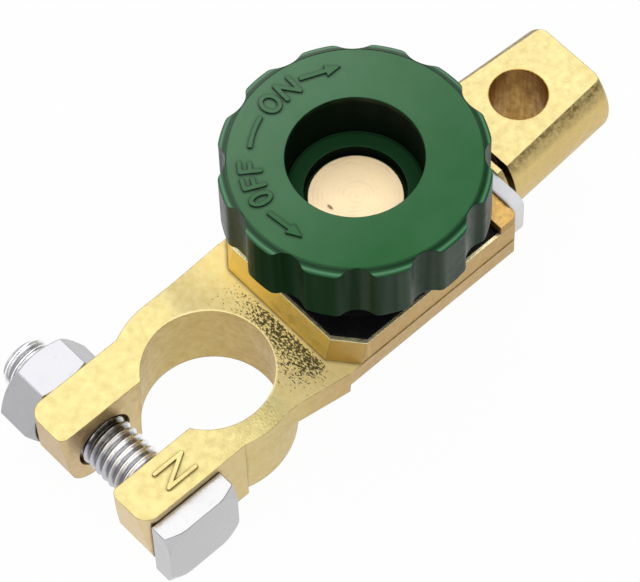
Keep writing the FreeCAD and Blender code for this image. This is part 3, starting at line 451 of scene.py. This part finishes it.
def white_nylon():
    """White, warmer low down, with a painted brown reflection of the bridge where it lies against it, and
    painted shade in its corners.
    """
    look = Look("white_nylon")
    x, _, z = look.parts(look.mm)
    color = look.mix(look.past(z, 9.0, 19.5), NYLON_LOW, NYLON_WHITE)
    color = look.mix(look.times(look.noise(1.1, 3), 0.15), color, NYLON_SPECK)
    # Brown against the bridge: painted reflection of the brass
    by_bridge = look.fit(x, BRIDGE_END, BRIDGE_END + 0.4, 0.6, 0.0)
    color = look.mix(by_bridge, color, NYLON_BY_BRASS)
    # Painted shade in corners
    color = look.mix(look.times(look.crevice(0.8), 0.45), color, NYLON_CREVICE)
    normal = look.bump(look.noise(3, 2), 0.01, look.soft_edge(0.25))
    return look.done(color, 0.42, 0.0, normal, Subsurface_Weight=0.15, Subsurface_Scale=0.001)


COPPER_STAIN = (0.95, 0.75, 0.46)
COPPER_PALE = (1.0, 0.82, 0.54)
COPPER_RING = (0.50, 0.33, 0.19)
COPPER_SPOT = (0.20, 0.09, 0.03)
COPPER_CREVICE = (0.08, 0.04, 0.012)


def turned_copper():
    """Turned, slightly dished face: fine rings about the knob's axis, faint stains and one small mark."""
    look = Look("turned_copper")
    here = look.shifted(KNOB_X, 0, 0)
    x, y, _ = look.parts(here)
    radius = look.rings(here)
    wobble = look.add(radius, look.times(look.noise(0.5, 2, 0.5, here), 1.2))
    ring = look.math("SINE", look.times(wobble, 9.0))
    stain = look.past(look.noise(0.35, 4, 0.65, here, 0.8), 0.35, 0.7)
    color = look.mix(stain, COPPER_STAIN, COPPER_PALE)
    patches = look.past(look.noise(0.3, 2, 0.5, here), 0.4, 0.65)
    faint = look.past(look.times(look.past(ring, -1, 1), patches), 0.2, 0.8)
    color = look.mix(look.times(faint, 0.18), color, COPPER_RING)
    from_spot = look.rings(look.stretched(1, SPOT_STRETCH, 1, look.shifted(*SPOT, 0)))
    color = look.mix(look.fit(from_spot, 0.14, 0.30, 0.85, 0.0), color, COPPER_SPOT)
    # Painted shade at the face's edge and in corners
    color = look.mix(look.times(look.crevice(0.2), 0.8), color, COPPER_CREVICE)

    height = look.add(look.times(ring, 0.10), look.noise(1.6, 4, 0.6, here))
    dish = look.times(radius, radius, 2.2)
    normal = look.bump(look.add(height, dish), 0.006, look.soft_edge(0.15))
    far = look.add(look.times(x, FAR_X), look.times(y, FAR_Y))
    rough = look.add(look.fit(far, 0.0, FAR_REACH, 0.42, 0.50), look.times(stain, 0.1))
    return look.done(color, rough, 0.85, normal)


ZINC_PALE_TINT = (1.12, 1.12, 1.13)
ZINC_SCRATCH = (0.36, 0.37, 0.40)
ZINC_CREVICE = (0.02, 0.02, 0.023)
THREAD_GROOVE = (0.22, 0.22, 0.24)
THREAD_SHADED = (0.05, 0.046, 0.035)
THREAD_LOW_TINT = (0.58, 0.58, 0.61)
HEAD_TOP_TINT = (0.87, 0.865, 0.845)
HEAD_EDGE = (0.12, 0.125, 0.14)
NUT_TINT = (0.80, 0.80, 0.815)


def thread_marks(look, color, y):
    """Dark grooves of painted shade, and between the ears a painted shadow on the start by the far ear and a
    lower side painted grey as shade.
    """
    out_x, _, out_z = look.parts(look.shifted(BOLT_X, 0, BOLT_Z))
    # Painted shade in the thread's roots
    color = look.mix(look.fit(look.length(out_x, out_z), 3.25, 3.6, 0.6, 0.0), color, THREAD_GROOVE)
    between_ears = look.before(y, EAR_HALF, EAR_HALF + 0.1)
    # Painted shadow on the thread's upper side by the far ear
    shaded = look.times(look.past(y, 1.4, 4.0), between_ears, look.past(out_z, 1.2, 2.8),
                        look.fit(look.noise(0.9, 2), 0.3, 0.6, 0.6, 0.95))
    color = look.mix(shaded, color, THREAD_SHADED)
    # The lower side painted grey: painted shade
    low = look.times(look.before(out_x, -2.7, -1.7), between_ears)
    return look.tint(low, color, THREAD_LOW_TINT)


def head_and_nut_marks(look, color, y):
    """The head's top painted a little darker to tone down its highlight and edged by a dark line of painted
    shade, and the nut darker all over.
    """
    up = look.upward()
    at_nut = look.past(y, -1, 1)
    at_head = look.before(y, -1, 1)
    # The head's top a little darker: painted shade against its highlight
    color = look.tint(look.times(at_head, look.past(up, 0.93, 0.98)), color, HEAD_TOP_TINT)
    # A dark line on the rounded edge round the head's top: painted shade
    edge = look.times(at_head, look.past(up, 0.55, 0.70), look.before(up, 0.93, 0.98), 0.75)
    color = look.mix(edge, color, HEAD_EDGE)
    return look.tint(at_nut, color, NUT_TINT)


def zinc_steel(name, top, side, marks):
    """Bright zinc plate with faint clouds and upright scratches, its sides painted darker than its top as
    shade and painted shade in its corners.
    """
    look = Look(name)
    _, y, _ = look.parts(look.mm)
    cloud = look.past(look.noise(0.35, 3, 0.55), 0.3, 0.7)
    # Sides darker than the top: painted shade
    shade = look.mix(look.past(look.upward(), 0.25, 0.8), side, top)
    color = look.tint(look.times(cloud, 0.5), shade, ZINC_PALE_TINT)
    scratch = look.past(look.noise(2.0, 4, 0.7, look.stretched(0.5, 0.5, 2.2)), 0.58, 0.72)
    color = look.mix(look.times(scratch, 0.25), color, ZINC_SCRATCH)
    color = marks(look, color, y)
    # Painted shade in corners
    color = look.mix(look.times(look.crevice(0.6), 0.8), color, ZINC_CREVICE)
    height = look.add(look.times(look.noise(0.5, 2), 2.0), look.noise(2.4, 3, 0.6))
    normal = look.bump(height, 0.02, look.soft_edge(0.15))
    return look.done(color, look.fit(cloud, 0, 1, 0.22, 0.34), 1.0, normal)


def spring_steel():
    look = Look("spring_steel")
    color = look.mix(look.noise(0.9, 3), (0.26, 0.26, 0.27), (0.42, 0.42, 0.44))
    normal = look.bump(look.noise(3, 3), 0.01, look.soft_edge(0.08))
    return look.done(color, look.fit(look.noise(1.4, 2), 0.3, 0.7, 0.28, 0.42), 1.0, normal)


def dress(obj, material):
    obj.data.materials.clear()
    obj.data.materials.append(material)


# Colours for the sides of the casting, the post and the bridge: painted shade on surfaces that don't face up
CASTING_SIDES = ((0.76, 0.60, 0.35), (0.64, 0.51, 0.20), (0.55, 0.375, 0.145))
POST_SIDES = ((0.70, 0.54, 0.23),) * 3
BRIDGE_SIDES = ((0.50, 0.32, 0.11),) * 3

zinc = zinc_steel("zinc_steel", (0.57, 0.57, 0.585), (0.51, 0.51, 0.515), head_and_nut_marks)
zinc_thread = zinc_steel("thread_steel", (0.98, 0.98, 0.99), (0.92, 0.92, 0.93), thread_marks)
copper = turned_copper()
steel = spring_steel()
LOOKS = {
    "clamp_casting": cast_brass("cast_brass", (0.635, 0.54, 0.24), CASTING_SIDES, casting_marks),
    "cable_terminal": cast_brass("post_brass", (0.645, 0.555, 0.265), POST_SIDES, post_marks, 0.03, 0.2),
    "end_bridge": cast_brass("bridge_brass", (0.62, 0.41, 0.15), BRIDGE_SIDES, None, 0.05, 0.6),
    "insulating_liner": white_nylon(),
    "tray_cover": black_plastic(),
    "contact_washer": copper,
    "contact_stud": copper,
    "disc_spring": steel,
    "retaining_ring": steel,
    "knob": green_plastic(),
    "clamp_bolt": zinc,
    "clamp_nut": zinc,
}
for node_name, material in LOOKS.items():
    dress(nodes[node_name], material)


def add_object(name, data):
    obj = bpy.data.objects.new(name, data)
    bpy.context.scene.collection.objects.link(obj)
    return obj


def piece(name, points, faces, body, material, replaced=(), smooth_angle=35):
    """A new mesh, its points in millimetres, riding on a body."""
    mesh = bpy.data.meshes.new(name)
    mesh.from_pydata([[c * MM for c in point] for point in points], [], faces)
    mesh.validate()
    work = bmesh.new()
    work.from_mesh(mesh)
    bmesh.ops.recalc_face_normals(work, faces=work.faces)
    work.to_mesh(mesh)
    work.free()
    mesh.shade_smooth()
    mesh.set_sharp_from_angle(angle=math.radians(smooth_angle))
    obj = add_object(name, mesh)
    dress(obj, material)
    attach(obj, body)
    if replaced:
        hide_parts(*replaced)
    return obj


def soften(obj, width, segments, angle):
    bevel = obj.modifiers.new("soft_edges", "BEVEL")
    bevel.width = width * MM
    bevel.segments = segments
    bevel.limit_method = "ANGLE"
    bevel.angle_limit = math.radians(angle)
    bevel.harden_normals = True


def bands(rings, joined=False):
    """Faces between rings of as many points each; the last joins the first, or both ends get a face."""
    points = [point for ring in rings for point in ring]
    count = len(rings[0])
    starts = [n * count for n in range(len(rings))]
    pairs = list(zip(starts, starts[1:]))
    if joined:
        pairs.append((starts[-1], starts[0]))
    faces = []
    for low, high in pairs:
        for k in range(count):
            following = (k + 1) % count
            faces.append((low + k, low + following, high + following, high + k))
    if not joined:
        faces.append(tuple(range(count)))
        faces.append(tuple(range(starts[-1], len(points))))
    return points, faces


def bolt_point(radius, angle, y):
    """Around the clamp bolt's axis: the angle is 0 at +Z and grows towards +X."""
    return (BOLT_X + radius * math.sin(angle), y, BOLT_Z + radius * math.cos(angle))


THREAD_PITCH = 1.25
THREAD_CREST = 3.9
THREAD_ROOT = 3.2
THREAD_CHAMFER = 0.8
THREAD_FLAT = 0.12
THREAD_FLANK = 0.7
SHANK_END = -8
SHANK_IN_HEAD = 0.3
POINTS_AROUND = 56
RINGS_PER_TURN = 12


def thread_radius(turns, along):
    """Radius of a V thread with flat crests, at a place along its axis and around it."""
    phase = (along / THREAD_PITCH - turns) % 1
    rise = min(phase, 1 - phase) * 2
    depth = min(1, max(0, (rise - THREAD_FLAT) / THREAD_FLANK))
    return THREAD_CREST + (THREAD_ROOT - THREAD_CREST) * depth


def bolt_thread():
    """The bolt's shank with its thread, from inside the head to the chamfered end."""
    start, end = -(EAR_HALF + SHANK_IN_HEAD), BOLT_END
    rings = []
    count = round((end - start) / THREAD_PITCH * RINGS_PER_TURN)
    for n in range(count + 1):
        y = start + (end - start) * n / count
        tip = THREAD_CREST - max(0, THREAD_CHAMFER - (end - y))
        ring = []
        for k in range(POINTS_AROUND):
            turns = k / POINTS_AROUND
            radius = THREAD_CREST if y < SHANK_END else thread_radius(turns, y)
            ring.append(bolt_point(min(radius, tip), 2 * math.pi * turns, y))
        rings.append(ring)
    points, faces = bands(rings)
    return piece("bolt_thread", points, faces, "bolt", zinc_thread, smooth_angle=50)


def polygon_radius(sides, flats, angle):
    """Distance from the middle to the outline of a polygon that has a flat at angle 0."""
    step = 2 * math.pi / sides
    away = (angle + step / 2) % step - step / 2
    return flats / 2 / math.cos(away)


POINTS_PER_SIDE = 14
CONE_SLOPE = math.tan(math.radians(30))
CORNER_WIDTH = 0.22
CORNER_ANGLE = 20
CORNER_SEGMENTS = 3
FACE_INSET = 0.26
BORE_CHAMFER = 0.6
BACK_RADIUS = 3.0


def crowned(name, sides, flats, inner, outer, face, bore, body, replaced, both=False):
    """A bolt head or nut along Y from inner to outer, its corners taken off by a cone at one end or both."""
    count = sides * POINTS_PER_SIDE
    way = 1 if outer > inner else -1
    rings = []

    def ring(radius_of, y_of):
        made = []
        for k in range(count):
            angle = 2 * math.pi * (k + POINTS_PER_SIDE / 2) / count
            made.append(bolt_point(radius_of(angle), angle, y_of(angle)))
        rings.append(made)

    def edge(angle):
        return polygon_radius(sides, flats, angle)

    def fall(angle):
        return max(0, edge(angle) - face) * CONE_SLOPE

    def rim(angle):
        return min(face, edge(angle) - FACE_INSET)

    if bore:
        ring(lambda a: bore, lambda a: inner + way * BORE_CHAMFER)
        ring(lambda a: bore + BORE_CHAMFER, lambda a: inner)
    else:
        ring(lambda a: BACK_RADIUS, lambda a: inner)
    if both:
        ring(rim, lambda a: inner)
    ring(edge, lambda a: inner + (way * fall(a) if both else 0))
    ring(edge, lambda a: outer - way * fall(a))
    ring(rim, lambda a: outer)
    if bore:
        ring(lambda a: bore + BORE_CHAMFER, lambda a: outer)
        ring(lambda a: bore, lambda a: outer - way * BORE_CHAMFER)
    points, faces = bands(rings, joined=bool(bore))
    obj = piece(name, points, faces, body, zinc, replaced, CORNER_ANGLE)
    soften(obj, CORNER_WIDTH, CORNER_SEGMENTS, CORNER_ANGLE)


HEAD_FACE = 6.84
NUT_FACE = 6.24
NUT_BORE = 3.95
HEAD_END = -(EAR_HALF + HEAD_HEIGHT)
NUT_END = EAR_HALF + NUT_HEIGHT

thread = bolt_thread()
crowned("bolt_head", 4, HEAD_FLATS, -EAR_HALF, HEAD_END, HEAD_FACE, 0, "bolt", ["clamp_bolt"])
crowned("nut_shell", 6, NUT_FLATS, EAR_HALF, NUT_END, NUT_FACE, NUT_BORE, "nut", ["clamp_nut"], True)
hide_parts("clamp_bolt")

FLOOR_HALF = 6.0
FLOOR_GAP = 0.03
FLOOR_WHITE = 0.97
FLOOR_COLOR = (0.86, 0.86, 0.86)
WORLD_COLOR = (0.97, 0.985, 1.0, 1)
WORLD_STRENGTH = 0.5
WHITE = (1, 1, 1, 1)


def floor():
    """A pale floor that is white to the camera and in reflections, and keeps the part's shadow."""
    look = Look("floor")
    look.put(look.shader.inputs["Base Color"], FLOOR_COLOR)
    look.put(look.shader.inputs["Roughness"], 0.9)
    path = look.node("ShaderNodeLightPath")
    seen = look.math("MAXIMUM", path.outputs["Is Camera Ray"], path.outputs["Is Glossy Ray"])
    seen = look.math("MAXIMUM", seen, path.outputs["Is Transmission Ray"])
    white = look.node("ShaderNodeEmission")
    look.put(white.inputs["Color"], WHITE)
    blend = look.node("ShaderNodeMixShader")
    look.put(blend.inputs[0], look.times(seen, FLOOR_WHITE))
    look.tree.links.new(look.shader.outputs[0], blend.inputs[1])
    look.tree.links.new(white.outputs[0], blend.inputs[2])
    look.tree.links.new(blend.outputs[0], look.out.inputs["Surface"])
    mesh = bpy.data.meshes.new("floor")
    z = (LOWEST_Z - FLOOR_GAP) * MM
    corners = [(x * FLOOR_HALF, y * FLOOR_HALF, z) for x, y in ((-1, -1), (1, -1), (1, 1), (-1, 1))]
    mesh.from_pydata(corners, [], [(0, 1, 2, 3)])
    obj = add_object("floor", mesh)
    dress(obj, look.material)


def world():
    """A soft even light, and plain white to the camera and in reflections."""
    made = bpy.data.worlds.new("studio")
    bpy.context.scene.world = made
    made.use_nodes = True
    tree = made.node_tree
    tree.nodes.clear()
    out = tree.nodes.new("ShaderNodeOutputWorld")
    path = tree.nodes.new("ShaderNodeLightPath")
    seen = path.outputs["Is Camera Ray"]
    for name in ("Is Glossy Ray", "Is Transmission Ray"):
        either = tree.nodes.new("ShaderNodeMath")
        either.operation = "MAXIMUM"
        tree.links.new(seen, either.inputs[0])
        tree.links.new(path.outputs[name], either.inputs[1])
        seen = either.outputs[0]
    soft = tree.nodes.new("ShaderNodeBackground")
    soft.inputs["Color"].default_value = WORLD_COLOR
    soft.inputs["Strength"].default_value = WORLD_STRENGTH
    white = tree.nodes.new("ShaderNodeBackground")
    white.inputs["Color"].default_value = WHITE
    blend = tree.nodes.new("ShaderNodeMixShader")
    tree.links.new(seen, blend.inputs[0])
    tree.links.new(soft.outputs[0], blend.inputs[1])
    tree.links.new(white.outputs[0], blend.inputs[2])
    tree.links.new(blend.outputs[0], out.inputs["Surface"])


LAMP_TARGET = Vector((20, 0, 15)) * MM


def lamp(name, direction, distance, size, radiance):
    """A soft square lamp that faces the part; radiance is its brightness as seen."""
    data = bpy.data.lights.new(name, "AREA")
    data.shape = "SQUARE"
    data.size = size
    data.energy = radiance * math.pi * size * size
    obj = add_object(name, data)
    way = Vector(direction).normalized()
    obj.location = LAMP_TARGET + way * distance
    obj.rotation_euler = way.to_track_quat("Z", "Y").to_euler()


floor()
world()
lamp("key", (0.33, 0.38, 0.86), 1.1, 1.0, 1.0)
lamp("above", (-0.25, -0.35, 1.0), 1.1, 0.5, 2.2)
lamp("side", (-0.76, 0.65, 0.45), 1.0, 0.5, 1.0)
lamp("front", (-0.5, -0.75, 0.5), 1.2, 0.6, 1.3)

# The photograph's viewpoint, fitted to its edges: degrees, metres, and the middle of the view in millimetres
CAMERA_AZIMUTH = -40.745
CAMERA_ELEVATION = 59.724
CAMERA_ROLL = -2.304
CAMERA_DISTANCE = 0.53666
CAMERA_LENS = 224.78
CAMERA_TARGET = (19.046, -1.330, 13.65)


def camera():
    data = bpy.data.cameras.new("camera")
    data.sensor_fit = "HORIZONTAL"
    data.sensor_width = 36
    data.lens = CAMERA_LENS
    data.clip_start = 0.05
    data.clip_end = 20
    obj = add_object("camera", data)
    azimuth, elevation, roll = (math.radians(a) for a in (CAMERA_AZIMUTH, CAMERA_ELEVATION, CAMERA_ROLL))
    level = math.cos(elevation)
    back = Vector((math.sin(azimuth) * level, -math.cos(azimuth) * level, math.sin(elevation)))
    right = Vector((math.cos(azimuth), math.sin(azimuth), 0))
    up = back.cross(right)
    right, up = (math.cos(roll) * right + math.sin(roll) * up, -math.sin(roll) * right + math.cos(roll) * up)
    turn = Matrix((right, up, back)).transposed()
    place = Vector(CAMERA_TARGET) * MM + back * CAMERA_DISTANCE
    obj.matrix_world = Matrix.Translation(place) @ turn.to_4x4()
    bpy.context.scene.camera = obj


camera()
bpy.context.scene.view_settings.view_transform = "Standard"
